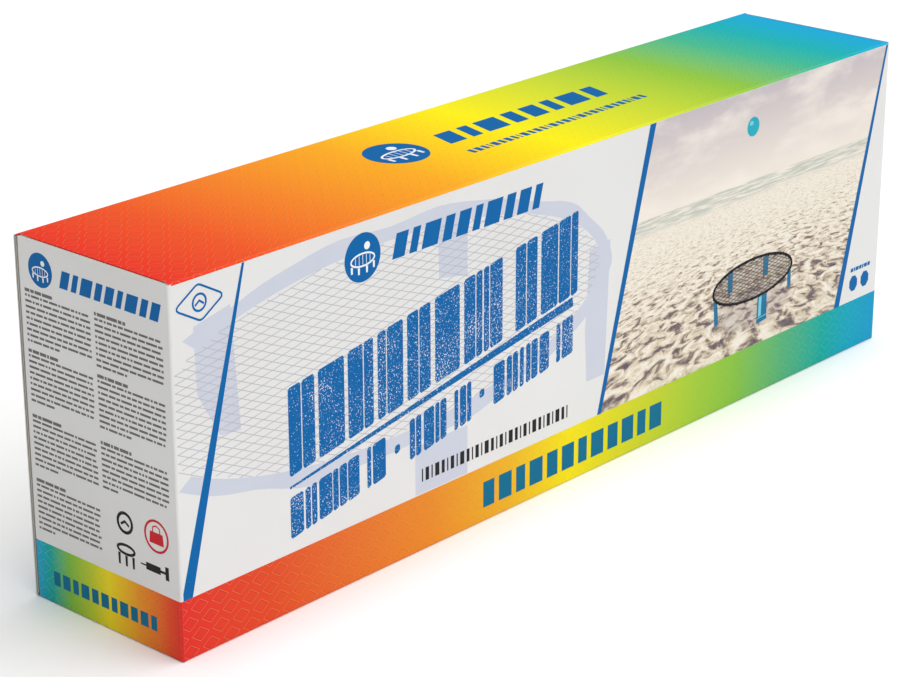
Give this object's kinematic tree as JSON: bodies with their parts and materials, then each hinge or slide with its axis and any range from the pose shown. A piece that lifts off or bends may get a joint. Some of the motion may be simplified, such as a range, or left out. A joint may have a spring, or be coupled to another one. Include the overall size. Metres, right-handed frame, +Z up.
{
  "type": "roundnet set",
  "caption": "Closed printed carton with tuck-in end lids, packed with a round net's rim arcs, legs, rolled net, balls, hand pump and carry bag.",
  "frame": {"origin": "centre of the carton's base, on the surface it stands on", "axes": "+X along the carton to its right end, -Y towards the front panel, +Z up"},
  "size_m": [0.6, 0.112, 0.1965],
  "materials": {
    "printed_board": "glossy offset print on coated white fine-flute board, pale grey-white inside",
    "rim": "extruded black plastic tube, satin",
    "leg": "moulded blue plastic, fine grain",
    "foot": "soft black rubber",
    "playing_ball": "matt rubber with moulded seams",
    "training_ball": "matt rubber with moulded seams",
    "valve": "soft black rubber",
    "net": "knotless knitted cord netting",
    "strap": "woven strap",
    "bag": "plain-woven polyester",
    "leaflet": "folded uncoated paper",
    "pump_body": "moulded, polished",
    "pump_trim": "moulded, fine texture",
    "pump_rod": "drawn bar",
    "needle": "nickel plated",
    "seal": "greased rubber"
  },
  "bodies": {
    "root": {"front_panel": "printed_board", "back_panel": "printed_board", "top_panel": "printed_board", "bottom_panel": "printed_board", "glue_flap": "printed_board", "rim_arc_1": "rim", "rim_arc_2": "rim", "rim_arc_3": "rim", "rim_arc_4": "rim", "rim_arc_5": "rim", "leg_1": "leg", "leg_2": "leg", "leg_3": "leg", "leg_4": "leg", "leg_5": "leg", "foot_pad_1": "foot", "foot_pad_2": "foot", "foot_pad_3": "foot", "foot_pad_4": "foot", "foot_pad_5": "foot", "playing_ball_1": "playing_ball", "playing_ball_2": "playing_ball", "training_ball": "training_ball", "playing_ball_1_valve": "valve", "playing_ball_2_valve": "valve", "training_ball_valve": "valve", "net_roll": "net", "net_tie": "strap", "carry_bag": "bag", "leaflet": "leaflet", "pump_barrel": "pump_body", "pump_base": "pump_trim", "pump_needle": "needle", "pump_collar": "pump_trim"},
    "pump_plunger": {"pump_rod": "pump_rod", "pump_piston": "seal", "pump_handle": "pump_trim"},
    "left_lid": {"left_lid": "printed_board"},
    "left_tuck_flap": {"left_tuck_flap": "printed_board"},
    "left_top_dust_flap": {"left_top_dust_flap": "printed_board"},
    "left_bottom_dust_flap": {"left_bottom_dust_flap": "printed_board"},
    "right_lid": {"right_lid": "printed_board"},
    "right_tuck_flap": {"right_tuck_flap": "printed_board"},
    "right_top_dust_flap": {"right_top_dust_flap": "printed_board"},
    "right_bottom_dust_flap": {"right_bottom_dust_flap": "printed_board"}
  },
  "joints": [
    {"name": "pump_stroke", "type": "slide", "parent": "root", "child": "pump_plunger", "axis": [1, 0, 0], "range_m": [0, 0.1]},
    {"name": "left_lid_hinge", "type": "hinge", "parent": "root", "child": "left_lid", "pos_m": [-0.3, -0.056, 0.09825], "axis": [0, 0, 1], "range_deg": [0, 180]},
    {"name": "left_tuck_crease", "type": "hinge", "parent": "left_lid", "child": "left_tuck_flap", "pos_m": [-0.3, 0.0538, 0.09825], "axis": [0, 0, 1], "range_deg": [0, 36]},
    {"name": "left_top_dust_crease", "type": "hinge", "parent": "root", "child": "left_top_dust_flap", "pos_m": [-0.2981, 0, 0.1965], "axis": [0, 1, 0], "range_deg": [0, 90]},
    {"name": "left_bottom_dust_crease", "type": "hinge", "parent": "root", "child": "left_bottom_dust_flap", "pos_m": [-0.2981, 0, 0], "axis": [0, -1, 0], "range_deg": [0, 90]},
    {"name": "right_lid_hinge", "type": "hinge", "parent": "root", "child": "right_lid", "pos_m": [0.3, -0.056, 0.09825], "axis": [0, 0, -1], "range_deg": [0, 180]},
    {"name": "right_tuck_crease", "type": "hinge", "parent": "right_lid", "child": "right_tuck_flap", "pos_m": [0.3, 0.0538, 0.09825], "axis": [0, 0, -1], "range_deg": [0, 36]},
    {"name": "right_top_dust_crease", "type": "hinge", "parent": "root", "child": "right_top_dust_flap", "pos_m": [0.2981, 0, 0.1965], "axis": [0, -1, 0], "range_deg": [0, 90]},
    {"name": "right_bottom_dust_crease", "type": "hinge", "parent": "root", "child": "right_bottom_dust_flap", "pos_m": [0.2981, 0, 0], "axis": [0, 1, 0], "range_deg": [0, 90]}
  ],
  "couplings": [
    {"joint": "left_tuck_crease", "follows": "left_lid_hinge", "ratio": 0.2},
    {"joint": "left_top_dust_crease", "follows": "left_lid_hinge", "ratio": 0.5},
    {"joint": "left_bottom_dust_crease", "follows": "left_lid_hinge", "ratio": 0.5},
    {"joint": "right_tuck_crease", "follows": "right_lid_hinge", "ratio": 0.2},
    {"joint": "right_top_dust_crease", "follows": "right_lid_hinge", "ratio": 0.5},
    {"joint": "right_bottom_dust_crease", "follows": "right_lid_hinge", "ratio": 0.5}
  ]
}
